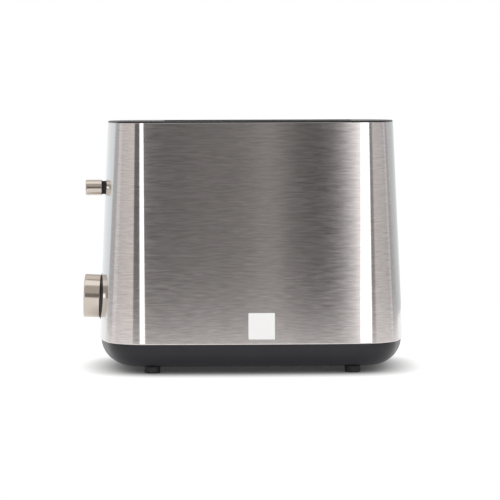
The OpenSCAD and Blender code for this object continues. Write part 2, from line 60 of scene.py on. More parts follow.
# Radii of the body's plan outline, whose corners widen from the rim down to the joint
END_RADIUS = 200 * MM
SIDE_RADIUS = 1600 * MM
CORNER_TOP = 26 * MM
CORNER_LOW = 35 * MM
# The steel sheet, the folds along its edges and the flanges that they turn in
SHEET = 0.8 * MM
LOW_FOLD = 0.9 * MM
HIGH_FOLD = 0.3 * MM
SEAM_FOLD = 0.55 * MM
FLANGE = 3.5 * MM
# The top frame's set-back from the steel edge
FRAME_INSET = 0.3 * MM
# The base's set-back, and the sizes of its rounded wall
BASE_INSET = 1.3 * MM
BASE_ROUND = 17 * MM
BASE_WALL = 4.4 * MM
BASE_FLOOR = 2.5 * MM
# The upstand inside the steel, and its outer and inner set-back
UPSTAND = 6 * MM
UPSTAND_INSET = (3.8 * MM, 5.5 * MM)
# The screw posts, and the radii and depth of their screw's head and thread
POST_Y = 50 * MM
POST_D = 9 * MM
POST_TOP = 22 * MM
HEAD_R = 3.5 * MM
HEAD_DEPTH = 3 * MM
THREAD_R = 1.6 * MM
# The cord gland's barrel and flange, as cut into the base
BARREL_R = 5.05 * MM
BARREL_REACH = 14 * MM
FLANGE_R = 7.2 * MM
FLANGE_DEPTH = 3.5 * MM
# The tray's clearance in the base, and half the width of its finger groove
TRAY_GAP_Y = 0.4 * MM
TRAY_GAP_Z = 0.3 * MM
GRIP_HALF = 20 * MM
# The rubber feet: the pad, its rounded sole and its stub
SOLE = 0.9 * MM
STUB_R = 2.9 * MM
STUB_HOLE_D = 6 * MM
FOOT_D = 12.5 * MM
FOOT_X = 79 * MM
FOOT_Y = 56 * MM
# The slot plate and its two bread slots
PLATE_T = 1.2 * MM
SLOT_L = 142 * MM
BREAD_W = 34 * MM
SLOT_X = 7 * MM
SLOT_Y = 30 * MM
SLOT_CORNER = 6 * MM
# The well that the plate lies in, with its wall and ledge, and the skirt inside the steel
WELL_CORNER = 6 * MM
WELL_WALL = 2 * MM
LEDGE = 2 * MM
PLATE_GAP = 0.2 * MM
SKIRT_INSET = 4.2 * MM
SKIRT_DROP = 2.6 * MM
# The lever's way through the control panel
LEVER_TRAVEL = 54 * MM
SLOT_WIDTH = 7.2 * MM
SLOT_SPARE = 2.6 * MM
# The browning knob, measured out from the panel's face
KNOB_Z = 56.6 * MM
KNOB_D = 35 * MM
KNOB_OUT = 13.8 * MM
SHAFT_HOLE_D = 8.6 * MM
# The push buttons
BUTTON_D = 9.6 * MM
BUTTON_GAP = 0.3 * MM
BUTTON_TIP = -0.8 * MM
# Behind the panel, a button has a collar and a stem
COLLAR_R = 6.2 * MM
COLLAR_Z = (-7 * MM, -5.8 * MM)
STEM_R = 2.5 * MM
STEM_END = -13.9 * MM
BUTTON_Y = 34 * MM
BUTTON_Z = [140 * MM, 122 * MM, 104 * MM]

control_low, control_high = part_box("control_panel")
rear_low, rear_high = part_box("rear_panel")
side_low, side_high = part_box("side_panel_far")
top_low, top_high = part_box("top_frame")
base_low, base_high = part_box("base_tub")
plate_low, plate_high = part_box("slot_plate")

MIDDLE_X = (control_low.x + rear_high.x) / 2
HALF_L = (rear_high.x - control_low.x) / 2
HALF_W = side_high.y
JOINT_Z = control_low.z
RIM_Z = control_high.z
TOP_Z = top_high.z
BASE_Z = base_low.z
RIM_SCALE = (top_high.x - top_low.x) / 2 / (HALF_L - FRAME_INSET)
SEAM_GAP = side_low.y - rear_high.y
SLOPE = (1 - RIM_SCALE) / (RIM_Z - JOINT_Z)
PLATE_Z = plate_high.z - PLATE_T
POST_X = (MIDDLE_X - 89 * MM, MIDDLE_X + 89 * MM)

# Longer than any cut needs to reach past a surface
PAST = 1 * MM

# The outline is an end arc, a corner arc and a side arc that meet tangent to each other
Corner = namedtuple("Corner", "centre radius end_angle side_angle")
END_CENTRE = Vector((HALF_L - END_RADIUS, 0))
SIDE_CENTRE = Vector((0, HALF_W - SIDE_RADIUS))


@functools.cache
def corner(z):
    """The corner arc at height z, with the angles where it meets the end arc and the side arc."""
    drop = min(max((RIM_Z - z) / (RIM_Z - JOINT_Z), 0), 1)
    radius = CORNER_TOP + (CORNER_LOW - CORNER_TOP) * drop
    between = SIDE_CENTRE - END_CENTRE
    end_reach = END_RADIUS - radius
    side_reach = SIDE_RADIUS - radius
    along = (end_reach ** 2 - side_reach ** 2 + between.length_squared) / (2 * between.length)
    across = math.sqrt(end_reach ** 2 - along ** 2)
    toward = between.normalized()
    centre = END_CENTRE + along * toward + across * Vector((-toward.y, toward.x))
    end_angle = math.atan2(centre.y, centre.x - END_CENTRE.x)
    side_angle = math.atan2(centre.y - SIDE_CENTRE.y, centre.x)
    return Corner(centre, radius, end_angle, side_angle)


def taper(z):
    return 1 - SLOPE * max(z - JOINT_Z, 0)


def outline(angle, inset, z):
    """The point at height z, set in by inset, where the body's outline faces along angle."""
    c, s = math.cos(angle), math.sin(angle)
    folded = math.atan2(abs(s), abs(c))
    bend = corner(z)
    centre, radius = bend.centre, bend.radius
    if folded < bend.end_angle:
        centre, radius = END_CENTRE, END_RADIUS
    elif folded > bend.side_angle:
        centre, radius = SIDE_CENTRE, SIDE_RADIUS
    x = math.copysign(1, c) * centre.x + (radius - inset) * c
    y = math.copysign(1, s) * centre.y + (radius - inset) * s
    scale = taper(z)
    return Vector((MIDDLE_X + x * scale, y * scale, z))


def steps(start, end, count):
    """count equal steps from start, without the end."""
    return [start + (end - start) * k / count for k in range(count)]


def ring(z, inset):
    """The whole outline at height z."""
    right = math.pi / 2
    bend = corner(z)
    quarter = steps(0, bend.end_angle, 16) + steps(bend.end_angle, bend.side_angle, 20)
    quarter += steps(bend.side_angle, right, 12)
    half = quarter + [right] + [math.pi - a for a in quarter[:0:-1]]
    return [outline(a, inset, z) for a in half + [a + math.pi for a in half]]


def arc(centre, radius, start, end, count):
    """Points (across, up) on an arc, ends included, with angles in degrees."""
    angles = [math.radians(start + (end - start) * k / count) for k in range(count + 1)]
    return [(centre[0] + radius * math.cos(a), centre[1] + radius * math.sin(a)) for a in angles]


# ---- Mesh tools: a shape is a pair of a point list and a face list ----


def new_object(name, *shapes):
    """One object from one or more closed shapes."""
    vertices, faces = [], []
    for points, loops in shapes:
        start = len(vertices)
        vertices += [tuple(p) for p in points]
        faces += [[start + i for i in loop] for loop in loops]
    mesh = bpy.data.meshes.new(name)
    mesh.from_pydata(vertices, [], faces)
    work = bmesh.new()
    work.from_mesh(mesh)
    bmesh.ops.recalc_face_normals(work, faces=work.faces)
    work.to_mesh(mesh)
    work.free()
    obj = bpy.data.objects.new(name, mesh)
    bpy.context.scene.collection.objects.link(obj)
    return obj


def loft(rings):
    """A solid through rings of points, capped at both ends."""
    count = len(rings[0])
    last = (len(rings) - 1) * count
    faces = [list(range(count)), list(range(last, last + count))]
    for a in range(0, last, count):
        for i in range(count):
            j = (i + 1) % count
            faces.append([a + i, a + j, a + count + j, a + count + i])
    return [p for points in rings for p in points], faces


def turned(profile, place, sides=96):
    """A turned solid from (radius, height) points, which start and end on the axis, at a 4x4 place."""
    turns = [2 * math.pi * k / sides for k in range(sides)]
    points = [place @ Vector((0, 0, profile[0][1]))]
    for radius, height in profile[1:-1]:
        points += [place @ Vector((radius * math.cos(t), radius * math.sin(t), height)) for t in turns]
    points.append(place @ Vector((0, 0, profile[-1][1])))
    last = len(points) - 1
    faces = []
    for i in range(sides):
        j = (i + 1) % sides
        faces += [[0, 1 + i, 1 + j], [last, last - sides + j, last - sides + i]]
        for a in range(1, last - sides, sides):
            faces.append([a + i, a + j, a + sides + j, a + sides + i])
    return points, faces


def prism(flat, place, low, high):
    """A flat outline of (x, y) points, drawn out from low to high along z, at a 4x4 place."""
    return loft([[place @ Vector((x, y, z)) for x, y in flat] for z in (low, high)])


def rounded(x, y, radius, count=8):
    """A rectangle with round corners, from its x and y ranges."""
    flat = []
    for cx, cy, start in ((x[1], y[1], 0), (x[0], y[1], 90), (x[0], y[0], 180), (x[1], y[0], 270)):
        centre = (cx - math.copysign(radius, cx - sum(x) / 2), cy - math.copysign(radius, cy - sum(y) / 2))
        flat += arc(centre, radius, start, start + 90, count)
    return flat


def block(x, y, z, radius=0.0):
    """A level block from its x, y and z ranges, with upright edges rounded to a radius."""
    flat = rounded(x, y, radius) if radius else [(x[0], y[0]), (x[1], y[0]), (x[1], y[1]), (x[0], y[1])]
    return prism(flat, Matrix(), z[0], z[1])


def rod(diameter, x, y, low, high, sides=48):
    """An upright round bar."""
    return prism(arc((x, y), diameter / 2, 0, 360 - 360 / sides, sides - 1), Matrix(), low, high)


def apply_modifiers(obj):
    """Makes an object's modifiers part of its mesh."""
    bpy.context.view_layer.update()
    graph = bpy.context.evaluated_depsgraph_get()
    mesh = bpy.data.meshes.new_from_object(obj.evaluated_get(graph))
    obj.modifiers.clear()
    old = obj.data
    obj.data = mesh
    bpy.data.meshes.remove(old)
    mesh.name = obj.name


def shape_of(obj):
    """An object's own shape, to build others from. The object goes."""
    shape = [v.co.copy() for v in obj.data.vertices], [list(face.vertices) for face in obj.data.polygons]
    bpy.data.objects.remove(obj)
    return shape


def combine(obj, operation, *shapes):
    """Joins, cuts or crosses an object with shapes that are apart from each other."""
    tool = new_object("tool", *shapes)
    modifier = obj.modifiers.new("combine", "BOOLEAN")
    modifier.operation = operation
    modifier.solver = "EXACT"
    modifier.object = tool
    apply_modifiers(obj)
    bpy.data.objects.remove(tool)


def soften(obj, sharp=35):
    """Smooth shading that keeps the edges that are sharper than an angle."""
    obj.data.shade_smooth()
    obj.data.set_sharp_from_angle(angle=math.radians(sharp))
    modifier = obj.modifiers.new("weighted_normals", "WEIGHTED_NORMAL")
    modifier.keep_sharp = True


def finish_piece(obj, body, slot, *nodes):
    """Paints a piece, sets what it rides on and hides the CAD nodes that it stands for."""
    obj.data.materials.clear()
    obj.data.materials.append(looks[slot])
    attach(obj, body)
    if nodes:
        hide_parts(*nodes)


# ---- Material tools ----


class Graph:
    """Builds one node tree."""

    def __init__(self, tree):
        self.tree = tree
        tree.nodes.clear()

    def node(self, kind, inputs=None, **settings):
        made = self.tree.nodes.new(kind)
        for name, value in settings.items():
            setattr(made, name, value)
        for name, value in (inputs or {}).items():
            if isinstance(value, bpy.types.NodeSocket):
                self.tree.links.new(value, made.inputs[name])
            else:
                made.inputs[name].default_value = value
        return made

    def math(self, operation, a, b=0.0):
        return self.node("ShaderNodeMath", {0: a, 1: b}, operation=operation).outputs[0]

    def noise(self, vector, scale, detail=2.0, roughness=0.5):
        inputs = {"Vector": vector, "Scale": scale, "Detail": detail, "Roughness": roughness}
        return self.node("ShaderNodeTexNoise", inputs).outputs["Fac"]

    def stretch(self, vector, scale):
        inputs = {"Vector": vector, "Scale": scale}
        return self.node("ShaderNodeMapping", inputs, vector_type="POINT").outputs["Vector"]

    def span(self, value, low, high, smooth=False, source=(0.3, 0.7)):
        inputs = {"Value": value, "From Min": source[0], "From Max": source[1], "To Min": low, "To Max": high}
        kind = "SMOOTHSTEP" if smooth else "LINEAR"
        return self.node("ShaderNodeMapRange", inputs, interpolation_type=kind).outputs["Result"]

    def mix(self, factor, a, b):
        made = self.node("ShaderNodeMix", data_type="RGBA")
        for socket, value in zip((made.inputs[0], made.inputs[6], made.inputs[7]), (factor, a, b)):
            if isinstance(value, bpy.types.NodeSocket):
                self.tree.links.new(value, socket)
            else:
                socket.default_value = value
        return made.outputs[2]

    def shade(self, value, low, high):
        """From one colour to the other as a noise value rises."""
        return self.mix(self.span(value, 0.0, 1.0), low, high)

    def bump(self, height, strength, distance):
        inputs = {"Height": height, "Strength": strength, "Distance": distance}
        return self.node("ShaderNodeBump", inputs).outputs["Normal"]


def colour(r, g, b, scale=1.0):
    return (r * scale, g * scale, b * scale, 1.0)


def material(name, build, **constants):
    """A material whose build function returns the linked inputs of its shader."""
    made = bpy.data.materials.new(name)
    made.use_nodes = True
    graph = Graph(made.node_tree)
    coordinates = graph.node("ShaderNodeTexCoord").outputs["Object"]
    shader = graph.node("ShaderNodeBsdfPrincipled", {**constants, **build(graph, coordinates)})
    graph.node("ShaderNodeOutputMaterial", {"Surface": shader.outputs[0]})
    return made


def brushed(tone, rough, streak, grain):
    """Metal brushed in level lines. streak is how much they vary in colour, and grain in height."""

    def build(graph, place):
        long_lines = graph.noise(graph.stretch(place, (100, 100, 1100)), 1.0, 3.0)
        fine_lines = graph.noise(graph.stretch(place, (200, 200, 5000)), 1.0, 2.0)
        long_part = graph.math("MULTIPLY", long_lines, 0.6)
        both = graph.math("ADD", long_part, graph.math("MULTIPLY", fine_lines, 0.4))
        return {
            "Base Color": graph.shade(both, colour(*tone, 1 - streak), colour(*tone, 1 + streak)),
            "Roughness": graph.span(long_lines, rough * 0.92, rough * 1.08),
            "Normal": graph.bump(both, grain, 0.05 * MM),
            "Tangent": graph.node("ShaderNodeTangent", direction_type="RADIAL", axis="Z").outputs[0],
        }

    return build


def plain_metal(tone, rough, scale=400.0, variation=0.08, grain=0.1):
    """Metal with faint cloudy tarnish and a fine rolled grain."""

    def build(graph, place):
        clouds = graph.noise(place, scale * 0.15, 4.0, 0.6)
        fine = graph.noise(place, scale * 6, 3.0)
        return {
            "Base Color": graph.shade(clouds, colour(*tone, 1 - variation), colour(*tone)),
            "Roughness": graph.span(clouds, rough * 1.2, rough * 0.85),
            "Normal": graph.bump(fine, grain, 0.05 * MM),
        }

    return build


def moulded(tone, rough, grain=0.25, size=2600.0, lift=1.25):
    """Moulded plastic with a fine spark-eroded grain."""

    def build(graph, place):
        cells = graph.node("ShaderNodeTexVoronoi", {"Vector": place, "Scale": size}, feature="SMOOTH_F1")
        clouds = graph.noise(place, 60.0, 3.0)
        fine = graph.noise(place, size * 1.7, 2.0)
        relief = graph.math("ADD", cells.outputs["Distance"], graph.math("MULTIPLY", fine, 0.6))
        return {
            "Base Color": graph.shade(clouds, colour(*tone), colour(*tone, lift)),
            "Roughness": graph.span(fine, rough * 0.88, rough * 1.12),
            "Normal": graph.bump(relief, grain, 0.03 * MM),
        }

    return build


def mica_sheet(graph, place):
    """Pressed mica: cloudy, with small pale flakes."""
    flakes = graph.node("ShaderNodeTexVoronoi", {"Vector": place, "Scale": 260.0})
    clouds = graph.noise(place, 90.0, 5.0, 0.65)
    tone = graph.shade(clouds, colour(0.46, 0.40, 0.30), colour(0.66, 0.60, 0.48))
    flake = graph.math("MULTIPLY", flakes.outputs["Distance"], 0.5)
    return {
        "Base Color": graph.mix(flake, tone, colour(0.75, 0.71, 0.6)),
        "Roughness": graph.span(clouds, 0.35, 0.6),
        "Normal": graph.bump(flakes.outputs["Distance"], 0.3, 0.1 * MM),
    }


def hot_ribbon(graph, place):
    """Heater alloy with a patchy oxide."""
    oxide = graph.noise(place, 300.0, 4.0, 0.6)
    return {
        "Base Color": graph.shade(oxide, colour(0.16, 0.13, 0.12), colour(0.34, 0.29, 0.25)),
        "Roughness": graph.span(oxide, 0.35, 0.6),
        "Normal": graph.bump(oxide, 0.2, 0.05 * MM),
    }


def wave(graph, place, scale, distortion, direction):
    """Even bands, dark to light."""
    inputs = {"Vector": place, "Scale": scale, "Distortion": distortion}
    return graph.node("ShaderNodeTexWave", inputs, bands_direction=direction).outputs["Fac"]


def winding(graph, place):
    """Enamelled copper wire, turn upon turn."""
    turns = wave(graph, place, 520.0, 0.4, "Z")
    return {
        "Base Color": graph.mix(turns, colour(0.22, 0.07, 0.03), colour(0.72, 0.30, 0.12)),
        "Roughness": graph.span(turns, 0.4, 0.22, source=(0.0, 1.0)),
        "Normal": graph.bump(turns, 0.7, 0.2 * MM),
    }


def woven_sleeve(graph, place):
    """A braided glass sleeve."""
    one = wave(graph, place, 420.0, 1.0, "DIAGONAL")
    other = wave(graph, place, 420.0, 0.0, "Z")
    weave = graph.math("MULTIPLY", one, other)
    return {
        "Base Color": graph.mix(weave, colour(0.16, 0.05, 0.025), colour(0.42, 0.19, 0.1)),
        "Roughness": graph.span(weave, 0.85, 0.6, source=(0.0, 1.0)),
        "Normal": graph.bump(weave, 0.6, 0.15 * MM),
    }


def board_mask(graph, place):
    """Green solder mask over raised tracks."""
    tracks = graph.node("ShaderNodeTexVoronoi", {"Vector": place, "Scale": 150.0}, distance="CHEBYCHEV")
    edge = graph.span(tracks.outputs["Distance"], 0.0, 1.0, source=(0.42, 0.46))
    return {
        "Base Color": graph.mix(edge, colour(0.012, 0.10, 0.035), colour(0.02, 0.19, 0.07)),
        "Roughness": graph.span(edge, 0.3, 0.22, source=(0.0, 1.0)),
        "Normal": graph.bump(edge, 0.2, 0.05 * MM),
    }


def ceramic_body(graph, place):
    """Unglazed ceramic with fine specks."""
    specks = graph.noise(place, 900.0, 3.0, 0.7)
    return {
        "Base Color": graph.shade(specks, colour(0.62, 0.59, 0.52), colour(0.78, 0.76, 0.7)),
        "Roughness": graph.span(specks, 0.5, 0.35),
        "Normal": graph.bump(specks, 0.15, 0.05 * MM),
    }


def rubber_skin(graph, place):
    """Matt rubber with a little dust."""
    grit = graph.noise(place, 3500.0, 3.0, 0.7)
    dust = graph.noise(place, 150.0, 4.0)
    return {
        "Base Color": graph.shade(dust, colour(0.012, 0.012, 0.013), colour(0.03, 0.03, 0.031)),
        "Roughness": graph.span(grit, 0.55, 0.75),
        "Normal": graph.bump(grit, 0.4, 0.05 * MM),
    }


def label_paper(graph, place):
    """White coated paper."""
    fibres = graph.noise(place, 2200.0, 4.0, 0.7)
    return {
        "Base Color": graph.shade(fibres, colour(0.88, 0.88, 0.88), colour(0.95, 0.95, 0.95)),
        "Roughness": graph.span(fibres, 0.5, 0.4),
        "Normal": graph.bump(fibres, 0.05, 0.02 * MM),
    }


STEEL = (0.66, 0.62, 0.61)
METAL = {"Metallic": 1.0}
SIDE_BRUSHING = {"Metallic": 1.0, "Anisotropic": 0.85, "Anisotropic Rotation": 0.25}
END_BRUSHING = {"Metallic": 1.0, "Anisotropic": 0.6, "Anisotropic Rotation": 0.25}
SOFT_GLOSS = {"Specular IOR Level": 0.35}
looks = {name: material(name, build, **constants) for name, build, constants in (
    ("brushed_steel_side", brushed(STEEL, 0.15, 0.15, 0.005), SIDE_BRUSHING),
    ("polished_steel_end", brushed((0.64, 0.63, 0.63), 0.13, 0.02, 0.03), END_BRUSHING),
    ("slot_steel", brushed((0.58, 0.57, 0.56), 0.3, 0.05, 0.1), METAL),
    ("satin_nickel", plain_metal((0.62, 0.55, 0.49), 0.14, 500, 0.04, 0.05), METAL),
    ("black_base_plastic", moulded((0.012, 0.012, 0.015), 0.34), SOFT_GLOSS),
    ("black_top_plastic", moulded((0.011, 0.011, 0.012), 0.36), SOFT_GLOSS),
    ("black_trim", moulded((0.014, 0.014, 0.015), 0.32, 0.15), {}),
    ("button_plastic", moulded((0.035, 0.035, 0.037), 0.36, 0.12), {}),
    ("rubber", rubber_skin, {}),
    ("label_film", label_paper, {}),
    ("zinc_sheet", plain_metal((0.52, 0.53, 0.55), 0.38, 900, 0.25), METAL),
    ("reflector_sheet", plain_metal((0.68, 0.68, 0.69), 0.2, 500, 0.1), METAL),
    ("mica", mica_sheet, {}),
    ("heater_alloy", hot_ribbon, METAL),
    ("steel_wire", plain_metal((0.6, 0.59, 0.58), 0.22, 500, 0.1), METAL),
    ("spring_steel", plain_metal((0.4, 0.4, 0.42), 0.28, 500, 0.15), METAL),
    ("magnet_steel", plain_metal((0.36, 0.37, 0.4), 0.42, 900, 0.2), METAL),
    ("copper_winding", winding, METAL),
    ("contact_brass", plain_metal((0.72, 0.52, 0.24), 0.25, 500, 0.15), METAL),
    ("ceramic_white", ceramic_body, {}),
    ("lead_sleeve", woven_sleeve, {}),
    ("board_green", board_mask, {}),
    ("part_black", moulded((0.018, 0.018, 0.018), 0.45), {}),
    ("capacitor_sleeve", moulded((0.012, 0.017, 0.07), 0.25, 0.05), {}),
    ("potentiometer_body", moulded((0.07, 0.09, 0.12), 0.4), {}),
    ("screw_steel", plain_metal((0.5, 0.5, 0.51), 0.3, 700, 0.15), METAL))}

# ---- Steel body ----


def level_fold(radius, edge, up):
    """A panel's quarter-round fold at its top or bottom edge, from the wall to the flange, as
    (inset, z, normal across, normal up). up is 1 at the top edge and -1 at the bottom edge."""
    points = []
    for k in range(9):
        a = math.radians(90 * k / 8)
        inset, z = radius * (1 - math.cos(a)), edge - up * radius * (1 - math.sin(a))
        points.append((inset, z, math.cos(a), up * math.sin(a)))
    return points


def panel_section():
    """The upright section of a panel, outside and inside: (inset, z, normal across, normal up) round
    the outside, then (inset, z) back round the inside."""
    low, high = JOINT_Z, RIM_Z
    wall = (low + LOW_FOLD, high - HIGH_FOLD)
    rows = [wall[0] + 0.3 * MM, wall[0] + 1.2 * MM] + steps(wall[0] + 6 * MM, wall[1] - 6 * MM, 14)
    rows += [wall[1] - 6 * MM, wall[1] - 1.2 * MM, wall[1] - 0.3 * MM]
    outside = [(FLANGE, low, 0, -1), (FLANGE * 0.7, low, 0, -1)]
    outside += level_fold(LOW_FOLD, low, -1)[::-1]
    outside += [(0, z, 1, 0) for z in rows]
    outside += level_fold(HIGH_FOLD, high, 1)
    outside += [(FLANGE * 0.7, high, 0, 1), (FLANGE, high, 0, 1)]
    inside = [(inset + SHEET * n, z - SHEET * up) for inset, z, n, up in outside]
    return outside, inside[::-1]


def panel(name, columns, facing=0.0):
    """A folded sheet. columns gives, for a height, the angles of its stations from seam to seam and the
    radius that it bends to at its seams. facing turns it round the body."""
    outside, inside = panel_section()
    count = len(columns(JOINT_Z)[0])
    turns = map(math.radians, (90, 60, 30, 0))
    roll = [(SEAM_FOLD * (1 - math.sin(a)), SEAM_FOLD * (1 - math.cos(a))) for a in turns]
    rings = []
    for k in range(count):
        from_end = min(k, count - 1 - k)
        back, sink = roll[from_end] if from_end < len(roll) else (0, 0)
        back = math.copysign(back, count / 2 - k)
        points = []
        for inset, z, n, up in outside:
            angles, radius = columns(z)
            points.append(outline(angles[k] + back / radius + facing, inset + sink * n, z - sink * up))
        points += [outline(columns(z)[0][k] + facing, inset, z) for inset, z in inside]
        rings.append(points)
    return new_object(name, loft(rings))


@functools.cache
def end_columns(z):
    """The end panel stops where the corner starts."""
    seam = corner(z).end_angle - SEAM_GAP / 2 / END_RADIUS
    return [-seam] * 3 + steps(-seam, seam, 60) + [seam] * 4, END_RADIUS


@functools.cache
def side_columns(z):
    """The side panel wraps round both corners."""
    bend = corner(z)
    seam = bend.end_angle + SEAM_GAP / 2 / bend.radius
    wrap = steps(seam, bend.side_angle, 40)
    flat = steps(bend.side_angle, math.pi - bend.side_angle, 40) + [math.pi - bend.side_angle]
    return [seam] * 3 + wrap + flat + [math.pi - a for a in wrap[::-1]] + [math.pi - seam] * 3, bend.radius


def face_place(z, y=0.0):
    """A frame on the control panel at height z: local x up the face, local z outwards."""
    face = Matrix.Translation((MIDDLE_X - HALF_L * taper(z), 0, z))
    face @= Matrix.Rotation(math.atan(HALF_L * SLOPE) - math.pi / 2, 4, "Y")
    return face @ Matrix.Translation((0, y, 0))


def control_shell():
    """The end panel at -X, with the lever slot and the holes for the knob's shaft and the buttons."""
    obj = panel("control_end_shell", end_columns, math.pi)
    neck_low, neck_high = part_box("lever_neck")
    low = neck_low.z - LEVER_TRAVEL - SLOT_SPARE
    high = neck_high.z + SLOT_SPARE
    level = Matrix.Translation((MIDDLE_X - HALF_L, 0, 0)) @ Matrix.Rotation(-math.pi / 2, 4, "Y")
    slot = rounded((low, high), (-SLOT_WIDTH / 2, SLOT_WIDTH / 2), SLOT_WIDTH / 2 - 0.001 * MM)
    holes = [prism(slot, level, -20 * MM, 5 * MM)]
    bores = [(KNOB_Z, 0, SHAFT_HOLE_D)] + [(z, BUTTON_Y, BUTTON_D + 2 * BUTTON_GAP) for z in BUTTON_Z]
    for z, y, diameter in bores:
        circle = arc((0, 0), diameter / 2, 0, 352.5, 47)
        holes.append(prism(circle, face_place(z, y), -12 * MM, 5 * MM))
    combine(obj, "DIFFERENCE", *holes)
    return obj


# ---- Plastic shells ----


def base_wall(inset, drop):
    """Rings up the base's rounded side, from its flat underside to the joint."""
    angles = [math.radians(3 * k) for k in range(31)]
    return [ring(JOINT_Z - drop * math.cos(a), inset + BASE_ROUND * (1 - math.sin(a))) for a in angles]


def gland_boss():
    """The thick part of the base's wall that holds the cord gland."""
    low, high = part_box("cord_gland")
    y = (low.y + high.y) / 2
    obj = new_object("boss", loft(base_wall(BASE_INSET + 1 * MM, JOINT_Z - BASE_Z)))
    combine(obj, "INTERSECT", block((low.x + 3 * MM, high.x + 8 * MM), (y - 8 * MM, y + 9 * MM),
                                    (BASE_Z + PAST, JOINT_Z - PAST)))
    return shape_of(obj)


def gland_seat():
    """The stepped hole for the gland, along X through the rear wall."""
    low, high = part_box("cord_gland")
    outward = Matrix.Translation((high.x, (low.y + high.y) / 2, (low.z + high.z) / 2))
    seat = [(0, -BARREL_REACH), (BARREL_R, -BARREL_REACH), (BARREL_R, -FLANGE_DEPTH),
            (FLANGE_R, -FLANGE_DEPTH), (FLANGE_R, 20 * MM), (0, 20 * MM)]
    return turned(seat, outward @ Matrix.Rotation(math.pi / 2, 4, "Y"), 64)


def base_shell():
    """The tub with its upstand inside the steel, its screw posts and its openings."""
    outer = base_wall(BASE_INSET, JOINT_Z - BASE_Z)
    inner = base_wall(BASE_INSET + BASE_WALL, JOINT_Z - BASE_Z - BASE_FLOOR)
    edge = 0.4 * MM
    outer[-1:] = [ring(JOINT_Z - edge * (1 - math.sin(a)), BASE_INSET + edge * (1 - math.cos(a)))
                  for a in map(math.radians, (0, 30, 60, 90))]
    near, far = UPSTAND_INSET
    section = ((0, near), (UPSTAND, near), (UPSTAND, far), (0, far))
    upstand = [ring(JOINT_Z + rise, inset) for rise, inset in section]
    obj = new_object("base_shell", loft(outer + upstand + inner[::-1]))
    posts = [(x, y) for x in POST_X for y in (-POST_Y, POST_Y)]
    boss = gland_boss()
    combine(obj, "UNION", boss, *[rod(POST_D, x, y, BASE_Z + PAST, POST_TOP) for x, y in posts])
    tray_low, tray_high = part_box("tray_handle")
    tray_way = block((tray_low.x - 5 * MM, tray_high.x + 9 * MM),
                     (tray_low.y - TRAY_GAP_Y, tray_high.y + TRAY_GAP_Y),
                     (tray_low.z - TRAY_GAP_Z, tray_high.z + TRAY_GAP_Z), 1 * MM)
    holes = [gland_seat(), tray_way]
    head = BASE_Z + HEAD_DEPTH
    bore = [(0, BASE_Z - PAST), (HEAD_R, BASE_Z - PAST), (HEAD_R, head), (THREAD_R, head),
            (THREAD_R, POST_TOP + PAST), (0, POST_TOP + PAST)]
    holes += [turned(bore, Matrix.Translation((x, y, 0)), 40) for x, y in posts]
    for x in (MIDDLE_X - FOOT_X, MIDDLE_X + FOOT_X):
        for y in (-FOOT_Y, FOOT_Y):
            holes.append(rod(STUB_HOLE_D, x, y, BASE_Z - PAST, BASE_Z + BASE_FLOOR + PAST))
    combine(obj, "DIFFERENCE", *holes)
    return obj


def tray_front():
    """The tray's front, cut from the base's own round, with a finger groove along its lower edge."""
    low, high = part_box("tray_handle")
    tray_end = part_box("crumb_tray")[1].x
    obj = new_object("tray_front", loft(base_wall(BASE_INSET, JOINT_Z - BASE_Z)))
    combine(obj, "INTERSECT", block((tray_end, high.x + 9 * MM), (low.y, high.y), (low.z, high.z), 0.6 * MM))
    groove = block((tray_end + 4 * MM, high.x + 9 * MM), (-GRIP_HALF, GRIP_HALF),
                   (low.z - PAST, low.z + 4.5 * MM))
    combine(obj, "DIFFERENCE", groove)
    modifier = obj.modifiers.new("edges", "BEVEL")
    modifier.width = 0.3 * MM
    modifier.segments = 3
    modifier.angle_limit = math.radians(40)
    apply_modifiers(obj)
    return obj


def grown(x, y, radius, amounts):
    """Level rounded rectangles, each (z, growth)."""
    rings = []
    for z, grow in amounts:
        flat = rounded((x[0] - grow, x[1] + grow), (y[0] - grow, y[1] + grow), radius + grow)
        rings.append([Vector((a, b, z)) for a, b in flat])
    return rings


def lip(top, radius, count=6):
    """(z, growth) up a rounded edge that flares out to the surface at top."""
    angles = [math.radians(90 * k / count) for k in range(count + 1)]
    return [(top - radius * (1 - math.sin(a)), radius * (1 - math.cos(a))) for a in angles]


def top_rim():
    """The flat frame over the steel's top edge, with the well that the slot plate lies in."""
    edge = 0.7 * MM
    rounding = [ring(TOP_Z - edge * (1 - math.sin(a)), FRAME_INSET + edge * (1 - math.cos(a)))
                for a in (math.radians(15 * k) for k in range(7))]
    skirt = [ring(RIM_Z - SKIRT_DROP, SKIRT_INSET), ring(RIM_Z, SKIRT_INSET), ring(RIM_Z, FRAME_INSET)]
    obj = new_object("top_rim", loft(skirt + rounding))
    x = (plate_low.x - PLATE_GAP, plate_high.x + PLATE_GAP)
    y = (plate_low.y - PLATE_GAP, plate_high.y + PLATE_GAP)
    well = [(top_low.z, WELL_WALL), (RIM_Z + 0.3 * MM, WELL_WALL)]
    combine(obj, "UNION", loft(grown(x, y, WELL_CORNER, well)))
    hole = [(top_low.z - PAST, -LEDGE), (PLATE_Z, -LEDGE), (PLATE_Z, 0)]
    hole += lip(TOP_Z, 0.9 * MM) + [(TOP_Z + PAST, 0.9 * MM)]
    combine(obj, "DIFFERENCE", loft(grown(x, y, WELL_CORNER, hole)))
    return obj


